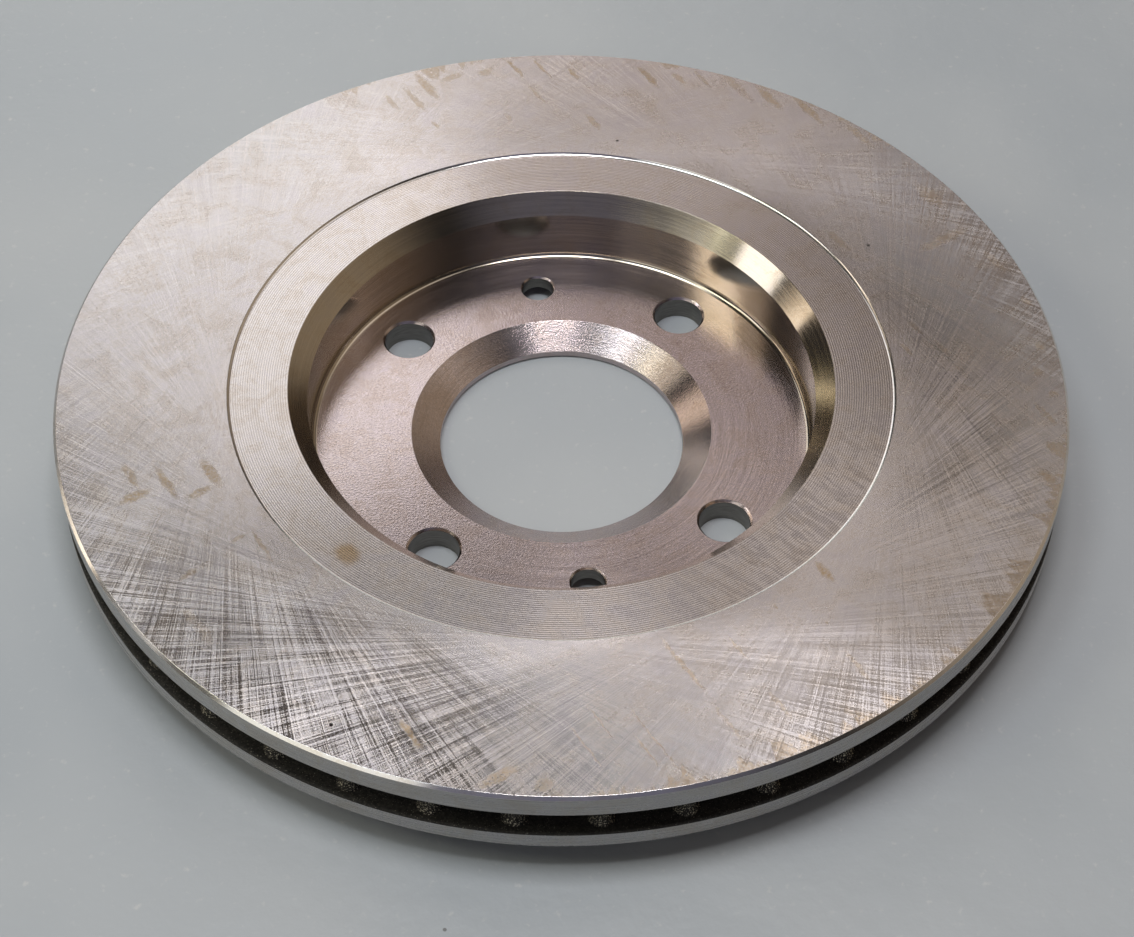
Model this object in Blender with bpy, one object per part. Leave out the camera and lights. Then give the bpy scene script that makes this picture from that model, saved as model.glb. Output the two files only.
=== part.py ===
"""Ventilated brake disc of a car's front wheel.

The disc is one grey-iron casting. It is modelled as the regions that its drawing names: the
inboard and the outboard friction plate, the neck that carries the inboard plate, the hat wall
below it, the mounting flange, and the vanes between the plates. A narrow gap parts each
region from the next.

Units are metres. The origin is the centre of the wheel-side face, and +Z is the axis of the
disc and points to its inboard side. At rest the disc lies on its wheel-side face.
"""

import math

import bmesh
import bpy

# ---------------------------------------------------------------- driving dimensions
DISC_DIAMETER = 0.266
DISC_HEIGHT = 0.028  # wheel-side face to inboard friction face
RING_THICKNESS = 0.0205  # over both friction faces
INBOARD_PLATE_THICKNESS = 0.0072
OUTBOARD_PLATE_THICKNESS = 0.0058
EDGE_CHAMFER = 0.00075  # turned, at the rim of both friction faces
CAST_ROUND = 0.0006  # as-cast rounding at the rim of the vent slot

LAND_DROP = 0.0006  # the land lies this far below the inboard friction face
RISER_RADIUS = 0.001  # concave step between the land and the friction face
NECK_REACH = 0.0122  # from the outside of the hat to the foot of the riser
NECK_FILLET = 0.003  # under the neck, against the hat wall

HAT_WALL_THICKNESS = 0.0075
HAT_DRAFT = 0.0007  # the outside of the hat is this much slimmer at the wheel face
HAT_EDGE_CHAMFER = 0.0015
HAT_FLOOR_FILLET = 0.0014
MOUTH_WIDTH = 0.0047  # the mouth cone's width, seen along the axis
MOUTH_DEPTH = 0.0052

FLANGE_THICKNESS = 0.007
CENTRE_BORE_DIAMETER = 0.066
CENTRE_BORE_LENGTH = 0.0022  # its straight stretch, chamfer included
CENTRE_BORE_CHAMFER = 0.0005
BORE_CONE_WIDTH = 0.0076  # from the straight bore to the hub seat, seen along the axis

BOLT_COUNT = 4
BOLT_CIRCLE_DIAMETER = 0.108
BOLT_HOLE_DIAMETER = 0.0134
BOLT_HOLE_CHAMFER = 0.0006
BOLT_EDGE_DISTANCE = 0.0068  # iron between a bolt hole and the bore of the hat
FIRST_BOLT_ANGLE = math.radians(45)

SCREW_COUNT = 2  # locating screws, on the bolt circle, midway between two bolts
SCREW_HOLE_DIAMETER = 0.0088
SCREW_HOLE_CHAMFER = 0.00045
SCREW_HEAD_DIAMETER = 0.015  # countersink on the wheel side

AIR_INLET_WIDTH = 0.012  # ring-shaped gap between the hat and the outboard plate
INLET_ROUND = 0.002  # rounding of the outboard plate at the inlet, slot side
INLET_CHAMFER = 0.001  # the same on the friction side

VANE_COUNT = 40
VANE_WIDTH = 0.0044
VANE_ROOT_FLARE = 0.0007  # how much wider each side gets where it meets a plate
VANE_ROOT_HEIGHT = 0.0011
VANE_INNER_INSET = 0.0015  # from the outboard plate's bore to the vane's end
VANE_OUTER_INSET = 0.0015  # from the rim to the vane's end
FIRST_VANE_ANGLE = math.radians(5.9)

SEAM = 0.0003  # clearance between one region and the next

# ---------------------------------------------------------------- worked-out sizes
DISC_RADIUS = DISC_DIAMETER / 2
BOLT_CIRCLE_RADIUS = BOLT_CIRCLE_DIAMETER / 2
BOLT_HOLE_RADIUS = BOLT_HOLE_DIAMETER / 2
SCREW_HOLE_RADIUS = SCREW_HOLE_DIAMETER / 2
SCREW_HEAD_RADIUS = SCREW_HEAD_DIAMETER / 2
CENTRE_BORE_RADIUS = CENTRE_BORE_DIAMETER / 2

HAT_BORE_RADIUS = BOLT_CIRCLE_RADIUS + BOLT_HOLE_RADIUS + BOLT_EDGE_DISTANCE
HAT_FOOT_RADIUS = HAT_BORE_RADIUS - HAT_FLOOR_FILLET
HAT_OUTER_RADIUS = HAT_BORE_RADIUS + HAT_WALL_THICKNESS
LAND_RADIUS = HAT_OUTER_RADIUS + NECK_REACH
LAND_Z = DISC_HEIGHT - LAND_DROP
MOUTH_Z = LAND_Z - MOUTH_DEPTH

INBOARD_BACK_Z = DISC_HEIGHT - INBOARD_PLATE_THICKNESS
OUTBOARD_FACE_Z = DISC_HEIGHT - RING_THICKNESS
OUTBOARD_BACK_Z = OUTBOARD_FACE_Z + OUTBOARD_PLATE_THICKNESS
OUTBOARD_BORE_RADIUS = HAT_OUTER_RADIUS + AIR_INLET_WIDTH

# ---------------------------------------------------------------- mesh fineness
RING_STEPS = 120
HOLE_STEPS = 32
FILLET_STEPS = 4
RISER_STEPS = 3
VANE_END_STEPS = 5
SAME_POINT = 1e-6
SHARP_ANGLE = math.radians(22)
CUT_MARGIN = 0.001  # a cutter reaches this far past the face that it opens


def clear_scene():
    """Removes whatever objects the scene holds."""
    for thing in list(bpy.data.objects):
        bpy.data.objects.remove(thing, do_unlink=True)


def iron(name, colour, roughness):
    """A bare iron surface: colour and roughness tell turned, ground and cast skin apart."""
    material = bpy.data.materials.new(name)
    material.use_nodes = True
    shader = material.node_tree.nodes["Principled BSDF"]
    shader.inputs["Base Color"].default_value = (*colour, 1.0)
    shader.inputs["Roughness"].default_value = roughness
    shader.inputs["Metallic"].default_value = 1.0
    return material


def arc(centre_r, centre_z, radius, start, end, steps):
    """Points of an arc in the turned section, from one angle in degrees to another."""
    points = []
    for step in range(steps + 1):
        angle = math.radians(start + (end - start) * step / steps)
        points.append((centre_r + radius * math.cos(angle), centre_z + radius * math.sin(angle)))
    return points


def turned_mesh(name, section, closed, steps):
    """Turns a section of (radius, height) points about the axis into a closed mesh."""
    shape = bmesh.new()
    verts = [shape.verts.new((radius, 0.0, height)) for radius, height in section]
    edges = [shape.edges.new(pair) for pair in zip(verts, verts[1:])]
    if closed:
        edges.append(shape.edges.new((verts[-1], verts[0])))
    bmesh.ops.spin(
        shape,
        geom=verts + edges,
        cent=(0.0, 0.0, 0.0),
        axis=(0.0, 0.0, 1.0),
        angle=2 * math.pi,
        steps=steps,
    )
    bmesh.ops.remove_doubles(shape, verts=shape.verts, dist=SAME_POINT)
    bmesh.ops.recalc_face_normals(shape, faces=shape.faces)
    mesh = bpy.data.meshes.new(name)
    shape.to_mesh(mesh)
    shape.free()
    return mesh


def add_part(name, mesh, material, parent):
    """Puts a finished mesh in the scene as one named region of the disc."""
    mesh.shade_smooth()
    mesh.set_sharp_from_angle(angle=SHARP_ANGLE)
    if not mesh.materials:
        mesh.materials.append(material)
    part = bpy.data.objects.new(name, mesh)
    part.parent = parent
    bpy.context.scene.collection.objects.link(part)
    return part


def inboard_friction_plate(material, parent):
    """The ground ring that the inner pad rubs on, with the concave riser to the land."""
    riser = arc(LAND_RADIUS, LAND_Z + RISER_RADIUS, RISER_RADIUS, -90, riser_end(), RISER_STEPS)
    section = riser + [
        (DISC_RADIUS - EDGE_CHAMFER, DISC_HEIGHT),
        (DISC_RADIUS, DISC_HEIGHT - EDGE_CHAMFER),
        (DISC_RADIUS, INBOARD_BACK_Z + CAST_ROUND),
        (DISC_RADIUS - CAST_ROUND, INBOARD_BACK_Z),
        (LAND_RADIUS, INBOARD_BACK_Z),
    ]
    mesh = turned_mesh("inboard_friction_plate", section, True, RING_STEPS)
    return add_part("inboard_friction_plate", mesh, material, parent)


def riser_end():
    """The angle, in degrees, at which the riser's arc comes up to the friction face."""
    return math.degrees(math.asin((LAND_DROP - RISER_RADIUS) / RISER_RADIUS))


def outboard_friction_plate(material, parent):
    """The ground ring on the wheel side, open round the hat so that air can enter the vents."""
    inlet_edge = arc(
        OUTBOARD_BORE_RADIUS + INLET_ROUND,
        OUTBOARD_BACK_Z - INLET_ROUND,
        INLET_ROUND,
        90,
        180,
        FILLET_STEPS,
    )
    section = inlet_edge + [
        (OUTBOARD_BORE_RADIUS, OUTBOARD_FACE_Z + INLET_CHAMFER),
        (OUTBOARD_BORE_RADIUS + INLET_CHAMFER, OUTBOARD_FACE_Z),
        (DISC_RADIUS - EDGE_CHAMFER, OUTBOARD_FACE_Z),
        (DISC_RADIUS, OUTBOARD_FACE_Z + EDGE_CHAMFER),
        (DISC_RADIUS, OUTBOARD_BACK_Z - CAST_ROUND),
        (DISC_RADIUS - CAST_ROUND, OUTBOARD_BACK_Z),
    ]
    mesh = turned_mesh("outboard_friction_plate", section, True, RING_STEPS)
    return add_part("outboard_friction_plate", mesh, material, parent)


def neck_ring(material, parent):
    """The land and the mouth cone: the iron that carries the inboard plate on the hat wall."""
    fillet = arc(
        HAT_OUTER_RADIUS + NECK_FILLET,
        INBOARD_BACK_Z - NECK_FILLET,
        NECK_FILLET,
        90,
        180,
        FILLET_STEPS,
    )
    section = [
        (HAT_BORE_RADIUS, MOUTH_Z),
        (HAT_BORE_RADIUS + MOUTH_WIDTH, LAND_Z),
        (LAND_RADIUS - SEAM, LAND_Z),
        (LAND_RADIUS - SEAM, INBOARD_BACK_Z),
    ]
    mesh = turned_mesh("neck_ring", section + fillet, True, RING_STEPS)
    return add_part("neck_ring", mesh, material, parent)


def hat_wall(material, parent):
    """The wall of the hat, from the wheel face up to the neck, with the floor fillet inside."""
    floor_fillet = arc(
        HAT_FOOT_RADIUS,
        FLANGE_THICKNESS + HAT_FLOOR_FILLET,
        HAT_FLOOR_FILLET,
        -90,
        0,
        FILLET_STEPS,
    )
    wheel_face_radius = HAT_OUTER_RADIUS - HAT_DRAFT
    section = floor_fillet + [
        (HAT_BORE_RADIUS, MOUTH_Z - SEAM),
        (HAT_OUTER_RADIUS, INBOARD_BACK_Z - NECK_FILLET - SEAM),
        (wheel_face_radius, HAT_EDGE_CHAMFER),
        (wheel_face_radius - HAT_EDGE_CHAMFER, 0.0),
        (HAT_FOOT_RADIUS, 0.0),
    ]
    mesh = turned_mesh("hat_wall", section, True, RING_STEPS)
    return add_part("hat_wall", mesh, material, parent)


def hole_cutter(name, section, angle, parent):
    """A turned cutter for one hole of the flange, standing on the bolt circle.

    It is turned by half a facet, so that none of its corners falls on an edge of the flange.
    """
    mesh = turned_mesh(name, section, False, HOLE_STEPS)
    cutter = bpy.data.objects.new(name, mesh)
    cutter.location = (
        BOLT_CIRCLE_RADIUS * math.cos(angle),
        BOLT_CIRCLE_RADIUS * math.sin(angle),
        0.0,
    )
    cutter.rotation_euler.z = angle + math.pi / HOLE_STEPS
    cutter.parent = parent
    cutter.hide_render = True
    cutter.display_type = "WIRE"
    bpy.context.scene.collection.objects.link(cutter)
    return cutter


def bolt_hole_section():
    """A straight hole for a wheel bolt, chamfered on the hub side."""
    rim = BOLT_HOLE_RADIUS + BOLT_HOLE_CHAMFER
    return [
        (0.0, -CUT_MARGIN),
        (BOLT_HOLE_RADIUS, -CUT_MARGIN),
        (BOLT_HOLE_RADIUS, FLANGE_THICKNESS - BOLT_HOLE_CHAMFER),
        (rim + CUT_MARGIN, FLANGE_THICKNESS + CUT_MARGIN),
        (0.0, FLANGE_THICKNESS + CUT_MARGIN),
    ]


def screw_hole_section():
    """A locating-screw hole: countersunk on the wheel side, chamfered on the hub side."""
    sink_depth = SCREW_HEAD_RADIUS - SCREW_HOLE_RADIUS
    rim = SCREW_HOLE_RADIUS + SCREW_HOLE_CHAMFER
    return [
        (0.0, -CUT_MARGIN),
        (SCREW_HEAD_RADIUS + CUT_MARGIN, -CUT_MARGIN),
        (SCREW_HOLE_RADIUS, sink_depth),
        (SCREW_HOLE_RADIUS, FLANGE_THICKNESS - SCREW_HOLE_CHAMFER),
        (rim + CUT_MARGIN, FLANGE_THICKNESS + CUT_MARGIN),
        (0.0, FLANGE_THICKNESS + CUT_MARGIN),
    ]


def cut(part, cutter):
    """Takes the cutter's shape out of the part."""
    boolean = part.modifiers.new(cutter.name, "BOOLEAN")
    boolean.operation = "DIFFERENCE"
    boolean.solver = "EXACT"
    boolean.object = cutter


def mounting_flange(material, parent):
    """The floor of the hat, clamped between hub and wheel, with its bore and its holes."""
    section = [
        (CENTRE_BORE_RADIUS + CENTRE_BORE_CHAMFER, 0.0),
        (CENTRE_BORE_RADIUS, CENTRE_BORE_CHAMFER),
        (CENTRE_BORE_RADIUS, CENTRE_BORE_LENGTH),
        (CENTRE_BORE_RADIUS + BORE_CONE_WIDTH, FLANGE_THICKNESS),
        (HAT_FOOT_RADIUS - SEAM, FLANGE_THICKNESS),
        (HAT_FOOT_RADIUS - SEAM, 0.0),
    ]
    mesh = turned_mesh("mounting_flange", section, True, RING_STEPS)
    flange = add_part("mounting_flange", mesh, material, parent)
    bolt_pitch = 2 * math.pi / BOLT_COUNT
    for index in range(BOLT_COUNT):
        angle = FIRST_BOLT_ANGLE + index * bolt_pitch
        cut(flange, hole_cutter(f"bolt_hole_cutter_{index + 1}", bolt_hole_section(), angle, parent))
    first_screw_angle = FIRST_BOLT_ANGLE + bolt_pitch / 2
    for index in range(SCREW_COUNT):
        angle = first_screw_angle + index * 2 * math.pi / SCREW_COUNT
        cut(flange, hole_cutter(f"screw_hole_cutter_{index + 1}", screw_hole_section(), angle, parent))
    return flange


def vane_outline(half_width, inner, outer):
    """A straight bar with round ends, seen along the disc's axis, as (x, y) points."""
    points = []
    for middle, start in ((outer - half_width, -90), (inner + half_width, 90)):
        points += arc(middle, 0.0, half_width, start, start + 180, VANE_END_STEPS)
    return points


def vane_mesh():
    """One vane along +X, wider at its roots, where it would run into the two plates."""
    low = OUTBOARD_BACK_Z + SEAM
    high = INBOARD_BACK_Z - SEAM
    inner = OUTBOARD_BORE_RADIUS + VANE_INNER_INSET
    outer = DISC_RADIUS - VANE_OUTER_INSET
    waist = VANE_WIDTH / 2
    root = waist + VANE_ROOT_FLARE
    levels = (
        (low, root, 0.0),
        (low + VANE_ROOT_HEIGHT, waist, VANE_ROOT_FLARE),
        (high - VANE_ROOT_HEIGHT, waist, VANE_ROOT_FLARE),
        (high, root, 0.0),
    )
    shape = bmesh.new()
    rings = []
    for height, half_width, inset in levels:
        outline = vane_outline(half_width, inner + inset, outer - inset)
        verts = [shape.verts.new((x, y, height)) for x, y in outline]
        edges = [shape.edges.new(pair) for pair in zip(verts, verts[1:] + verts[:1])]
        rings.append((verts, edges))
    for (_, lower), (_, upper) in zip(rings, rings[1:]):
        bmesh.ops.bridge_loops(shape, edges=lower + upper)
    shape.faces.new(rings[0][0])
    shape.faces.new(rings[-1][0])
    bmesh.ops.recalc_face_normals(shape, faces=shape.faces)
    mesh = bpy.data.meshes.new("vane")
    shape.to_mesh(mesh)
    shape.free()
    return mesh


def vanes(material, parent):
    """The ring of vanes, evenly spaced, each turned to its own angle about the disc's axis."""
    mesh = vane_mesh()
    for index in range(VANE_COUNT):
        vane = add_part(f"vane_{index + 1:02d}", mesh, material, parent)
        vane.rotation_euler.z = FIRST_VANE_ANGLE + index * 2 * math.pi / VANE_COUNT


def main():
    clear_scene()
    disc = bpy.data.objects.new("brake_disc", None)
    bpy.context.scene.collection.objects.link(disc)
    inboard_friction_plate(iron("ground_inboard_face", (0.55, 0.53, 0.52), 0.32), disc)
    outboard_friction_plate(iron("ground_outboard_face", (0.52, 0.50, 0.49), 0.34), disc)
    neck_ring(iron("turned_land", (0.50, 0.48, 0.46), 0.34), disc)
    hat_wall(iron("turned_hat", (0.44, 0.42, 0.40), 0.30), disc)
    mounting_flange(iron("turned_flange", (0.48, 0.45, 0.44), 0.36), disc)
    vanes(iron("cast_skin", (0.12, 0.11, 0.11), 0.75), disc)


main()
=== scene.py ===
# %% [markdown]
# # A ventilated brake disc, lying on its wheel face
#
# The disc is one iron casting: two ground friction plates, forty vanes between them, and a hat
# with a flat floor that bolts to the hub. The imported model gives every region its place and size.
# This lesson models each region again with a fine surface, and gives it the finish that a new
# disc has: swirl-ground faces, turned rings, and raw sand-cast iron in the vents.

# %% Load the frame
import math

import bmesh
import bpy
from mathutils import Matrix, Vector


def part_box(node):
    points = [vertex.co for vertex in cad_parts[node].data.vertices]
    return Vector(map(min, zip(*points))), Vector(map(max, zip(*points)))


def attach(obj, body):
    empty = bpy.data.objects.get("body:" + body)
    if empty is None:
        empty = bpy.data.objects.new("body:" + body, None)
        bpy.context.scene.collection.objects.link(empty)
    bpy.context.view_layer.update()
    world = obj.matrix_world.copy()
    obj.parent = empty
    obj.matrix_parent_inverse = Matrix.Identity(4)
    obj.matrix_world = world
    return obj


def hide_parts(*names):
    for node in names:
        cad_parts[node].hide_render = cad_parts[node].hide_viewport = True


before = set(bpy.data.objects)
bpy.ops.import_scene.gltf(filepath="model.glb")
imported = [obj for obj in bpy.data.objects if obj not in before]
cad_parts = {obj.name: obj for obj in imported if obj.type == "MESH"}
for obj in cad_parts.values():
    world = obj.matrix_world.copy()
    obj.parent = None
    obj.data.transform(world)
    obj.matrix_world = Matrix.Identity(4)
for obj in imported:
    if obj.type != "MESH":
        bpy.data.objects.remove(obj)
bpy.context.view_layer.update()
print("regions in the frame:", len(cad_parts))

# %% [markdown]
# ## Sizes
#
# Whatever the frame can say is read from it: a region's box gives its outer radius and its lowest
# and highest plane. The regions of the frame stop a hair's breadth short of each other, so that
# gap is added back here, and the finished pieces meet. Roundings and chamfers don't show in a
# box, so they are written as real sizes, in metres.

# %% Sizes that the frame gives
MM = 0.001
SEAM = 0.3 * MM


def reach(node):
    """The outer radius of a region, and its lowest and highest plane."""
    low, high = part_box(node)
    return high.x, low.z, high.z


DISC_R, INBOARD_BACK_Z, FACE_Z = reach("inboard_friction_plate")
_, OUTBOARD_FACE_Z, OUTBOARD_BACK_Z = reach("outboard_friction_plate")
LAND_R, NECK_FOOT_Z, LAND_Z = reach("neck_ring")
LAND_R += SEAM
HAT_OUTER_R, _, MOUTH_Z = reach("hat_wall")
MOUTH_Z += SEAM
FLOOR_R, _, FLANGE_Z = reach("mounting_flange")
FLOOR_R += SEAM
VANE_COUNT = sum(name.startswith("vane_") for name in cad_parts)
print(f"disc {2 * DISC_R / MM:.0f} mm across, {FACE_Z / MM:.0f} mm high, {VANE_COUNT} vanes")

# %% Roundings, chamfers and bores
FLOOR_FILLET = 1.4 * MM
HAT_BORE_R = FLOOR_R + FLOOR_FILLET
MOUTH_WIDTH = 4.7 * MM
RISER_R = 1.0 * MM
RIM_CHAMFER = 0.75 * MM
SLOT_ROUND = 0.7 * MM
HAT_DRAFT = 0.7 * MM
FOOT_CHAMFER = 1.5 * MM
INLET_WIDTH = 12.0 * MM
INLET_ROUND = 2.0 * MM
INLET_CHAMFER = 1.0 * MM
BORE_R = 33.0 * MM
BORE_LENGTH = 2.2 * MM
BORE_CHAMFER = 0.5 * MM
CONE_WIDTH = 7.6 * MM
BOLT_CIRCLE_R = 54.0 * MM
BOLT_R = 6.7 * MM
BOLT_CHAMFER = 0.6 * MM
SCREW_R = 4.4 * MM
SCREW_CHAMFER = 0.45 * MM
SINK_R = 7.5 * MM
TOOL_NOSE = 0.12 * MM  # the rounding that a cutting tool leaves on a sharp corner

RING_STEPS = 720
HOLE_STEPS = 96
MERGE = 0.001 * MM

# %% [markdown]
# ## Tools for turning
#
# A turned piece is drawn like a lathe drawing: half of its section, as a chain of points beside
# the axis. The chain starts as one vertex. Each corner is reached by extruding the last vertex,
# a corner is rounded by a vertex bevel, and Spin turns the closed chain into a solid. A Screw
# modifier would turn it as well, but Spin leaves a mesh that can be edited at once.


# %% Selecting by place
def deselect_all():
    """Leaves edit mode with nothing selected."""
    if bpy.context.mode != "OBJECT":
        bpy.ops.object.mode_set(mode="OBJECT")
    bpy.ops.object.select_all(action="DESELECT")


def select_only(piece):
    """Makes the piece the one that operators act on."""
    deselect_all()
    piece.select_set(True)
    bpy.context.view_layer.objects.active = piece


def add_object(name, data):
    """A new object in the scene."""
    thing = bpy.data.objects.new(name, data)
    bpy.context.scene.collection.objects.link(thing)
    return thing


def pick_vertices(wanted):
    """In edit mode, selects the vertices whose place the rule wants, and what lies between them."""
    mesh = bpy.context.edit_object.data
    cage = bmesh.from_edit_mesh(mesh)
    cage.select_mode = {"VERT"}
    for vertex in cage.verts:
        vertex.select = wanted(vertex.co)
    cage.select_flush_mode()
    bmesh.update_edit_mesh(mesh)


def near(radius, height):
    """A rule that wants the one point of a section at this radius and height."""
    place = Vector((radius, 0.0, height))
    return lambda co: (co - place).length < 2 * MERGE


# %% Drawing a section and spinning it
def start_at(name, radius, height):
    """A plane, merged to a single vertex, moved to where the section starts."""
    deselect_all()
    bpy.ops.mesh.primitive_plane_add(size=MM, location=(0, 0, 0))
    piece = bpy.context.object
    piece.name = piece.data.name = name
    bpy.ops.object.mode_set(mode="EDIT")
    bpy.ops.mesh.select_mode(type="VERT")
    bpy.ops.mesh.select_all(action="SELECT")
    bpy.ops.mesh.merge(type="CENTER")
    bpy.ops.transform.translate(value=(radius, 0, height))
    return piece


def draw_section(name, corners):
    """A closed chain through corners of (radius, height, rounding)."""
    piece = start_at(name, *corners[0][:2])
    for (r0, z0, _), (r1, z1, _) in zip(corners, corners[1:]):
        bpy.ops.mesh.extrude_region_move(TRANSFORM_OT_translate={"value": (r1 - r0, 0, z1 - z0)})
    first, last = near(*corners[0][:2]), near(*corners[-1][:2])
    pick_vertices(lambda co: first(co) or last(co))
    bpy.ops.mesh.edge_face_add()
    for index, (radius, height, rounding) in enumerate(corners):
        if rounding:
            here = Vector((radius, height))
            before = Vector(corners[index - 1][:2]) - here
            after = Vector(corners[(index + 1) % len(corners)][:2]) - here
            run = rounding / math.tan(before.angle(after) / 2)
            pick_vertices(near(radius, height))
            bpy.ops.mesh.bevel(offset=run, segments=arc_steps(rounding), affect="VERTICES")
    return piece


def arc_steps(rounding):
    """More steps for a larger rounding, so that each reads as round."""
    return 3 if rounding < 0.3 * MM else 8


def divide(start, end, cuts):
    """Divides the straight stretch between two points of the section."""
    axis = Vector((end[0] - start[0], 0, end[1] - start[1]))
    foot = Vector((start[0], 0, start[1]))

    def on_stretch(co):
        along = (co - foot).dot(axis) / axis.length_squared
        away = (co - foot - axis * along).length
        return away < MERGE and -0.001 < along < 1.001

    pick_vertices(on_stretch)
    bpy.ops.mesh.subdivide(number_cuts=cuts)


def leave_solid():
    """Turns the normals of all faces outwards and leaves edit mode."""
    bpy.ops.mesh.select_all(action="SELECT")
    bpy.ops.mesh.normals_make_consistent(inside=False)
    bpy.ops.object.mode_set(mode="OBJECT")


def spin_section(steps=RING_STEPS):
    """Turns the chain about the disc's axis and closes it."""
    bpy.ops.mesh.select_all(action="SELECT")
    bpy.ops.mesh.spin(steps=steps, angle=2 * math.pi, center=(0, 0, 0), axis=(0, 0, 1))
    bpy.ops.mesh.select_all(action="SELECT")
    bpy.ops.mesh.remove_doubles(threshold=MERGE)
    leave_solid()


def arc_corners(centre_r, centre_z, radius, start, end, steps):
    """Corners along an arc of the section, from one angle in degrees to another."""
    corners = []
    for index in range(steps + 1):
        angle = math.radians(start + (end - start) * index / steps)
        corners.append((centre_r + radius * math.cos(angle), centre_z + radius * math.sin(angle), 0))
    return corners


# %% Finishing a piece
SMOOTH_BELOW = math.radians(30)


def apply_modifiers(piece):
    """Applies the piece's modifiers, in order."""
    select_only(piece)
    for modifier in list(piece.modifiers):
        bpy.ops.object.modifier_apply(modifier=modifier.name)


def shade(piece):
    """Smooth shading that keeps flat faces flat: the larger a face, the more its normal counts."""
    select_only(piece)
    bpy.ops.object.shade_smooth_by_angle(angle=SMOOTH_BELOW)
    weighted = piece.modifiers.new("weighted", "WEIGHTED_NORMAL")
    weighted.keep_sharp = True
    weighted.weight = 100
    apply_modifiers(piece)


def roughen(piece, wanted, strength, grain):
    """Moves the wanted vertices in and out along their normals, as a sand mould leaves iron."""
    sand = bpy.data.textures.new("sand", "CLOUDS")
    sand.noise_scale = grain
    sand.noise_depth = 3
    cast = piece.vertex_groups.new(name="cast")
    cast.add([v.index for v in piece.data.vertices if wanted(v.co)], 1.0, "REPLACE")
    mould = piece.modifiers.new("mould", "DISPLACE")
    mould.texture = sand
    mould.texture_coords = "LOCAL"
    mould.vertex_group = cast.name
    mould.strength = strength
    mould.mid_level = 0.5
    apply_modifiers(piece)
    piece.vertex_groups.clear()


def paint(piece, materials, choose):
    """Gives each face one of the materials, by the place and the normal of the face."""
    piece.data.materials.clear()
    for material in materials:
        piece.data.materials.append(material)
    for face in piece.data.polygons:
        face.material_index = choose(face.center, face.normal)


def put_in_place(piece, slot_name, *nodes):
    """The piece rides on the disc and stands for its regions of the frame."""
    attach(piece, "root")
    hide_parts(*nodes)
    print(f"{piece.name}: {len(piece.data.polygons)} faces")


def finish(piece, materials, choose, slot_name, *nodes):
    """Paints and shades a modelled piece and puts it in place."""
    paint(piece, materials, choose)
    shade(piece)
    put_in_place(piece, slot_name, *nodes)


# %% [markdown]
# ## Tools for materials
#
# A material is a network of nodes. These short helpers add one node each and hand back its
# output, so that a finish reads like a sum. All patterns start from Object coordinates, turned
# from metres into millimetres, so their sizes can be written as a workshop would say them.


# %% Small node helpers
def wire(tree, socket, value):
    """Links an output to the socket, or writes a plain value on it."""
    if isinstance(value, bpy.types.NodeSocket):
        tree.links.new(value, socket)
    else:
        socket.default_value = value


def number(tree, operation, *values):
    """A Math node."""
    node = tree.nodes.new("ShaderNodeMath")
    node.operation = operation
    for socket, value in zip(node.inputs, values):
        wire(tree, socket, value)
    return node.outputs["Value"]


def times(tree, first, second):
    """The product of two numbers."""
    return number(tree, "MULTIPLY", first, second)


def plus(tree, first, second):
    """The sum of two numbers."""
    return number(tree, "ADD", first, second)


def minus(tree, first, second):
    """The first number less the second."""
    return number(tree, "SUBTRACT", first, second)


def vector(tree, operation, *values, scale=None):
    """A Vector Math node."""
    node = tree.nodes.new("ShaderNodeVectorMath")
    node.operation = operation
    for socket, value in zip(node.inputs, values):
        wire(tree, socket, value)
    if scale is not None:
        wire(tree, node.inputs["Scale"], scale)
    return node.outputs["Value" if operation in ("LENGTH", "DOT_PRODUCT") else "Vector"]


def join(tree, x, y, z):
    """Three numbers as one vector."""
    node = tree.nodes.new("ShaderNodeCombineXYZ")
    for socket, value in zip(node.inputs, (x, y, z)):
        wire(tree, socket, value)
    return node.outputs["Vector"]


def split(tree, value):
    """The three numbers of a vector."""
    node = tree.nodes.new("ShaderNodeSeparateXYZ")
    wire(tree, node.inputs["Vector"], value)
    return node.outputs["X"], node.outputs["Y"], node.outputs["Z"]


def noise(tree, coordinates, scale, detail=2.0, roughness=0.5, distortion=0.0, output="Fac"):
    """Soft noise from 0 to 1, with its middle at 0.5. Its Color is three such noises."""
    node = tree.nodes.new("ShaderNodeTexNoise")
    names = ("Vector", "Scale", "Detail", "Roughness", "Distortion")
    for name, value in zip(names, (coordinates, scale, detail, roughness, distortion)):
        wire(tree, node.inputs[name], value)
    return node.outputs[output]


def step(tree, value, low, high, to_low=0.0, to_high=1.0):
    """A smooth step from to_low to to_high while the value goes from low to high."""
    node = tree.nodes.new("ShaderNodeMapRange")
    node.interpolation_type = "SMOOTHSTEP"
    wire(tree, node.inputs["Value"], value)
    for name, end in zip(("From Min", "From Max", "To Min", "To Max"), (low, high, to_low, to_high)):
        wire(tree, node.inputs[name], end)
    return node.outputs["Result"]


def blend(tree, factor, first, second, mode="MIX"):
    """Mixes two colours."""
    node = tree.nodes.new("ShaderNodeMix")
    node.data_type = "RGBA"
    node.blend_type = mode
    wire(tree, node.inputs[0], factor)
    for socket, value in ((node.inputs[6], first), (node.inputs[7], second)):
        wire(tree, socket, (*value, 1.0) if isinstance(value, tuple) else value)
    return node.outputs[2]


def lean(tree, factor, first, second):
    """Mixes two vectors."""
    node = tree.nodes.new("ShaderNodeMix")
    node.data_type = "VECTOR"
    wire(tree, node.inputs[0], factor)
    wire(tree, node.inputs[4], first)
    wire(tree, node.inputs[5], second)
    return node.outputs[1]


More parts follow.
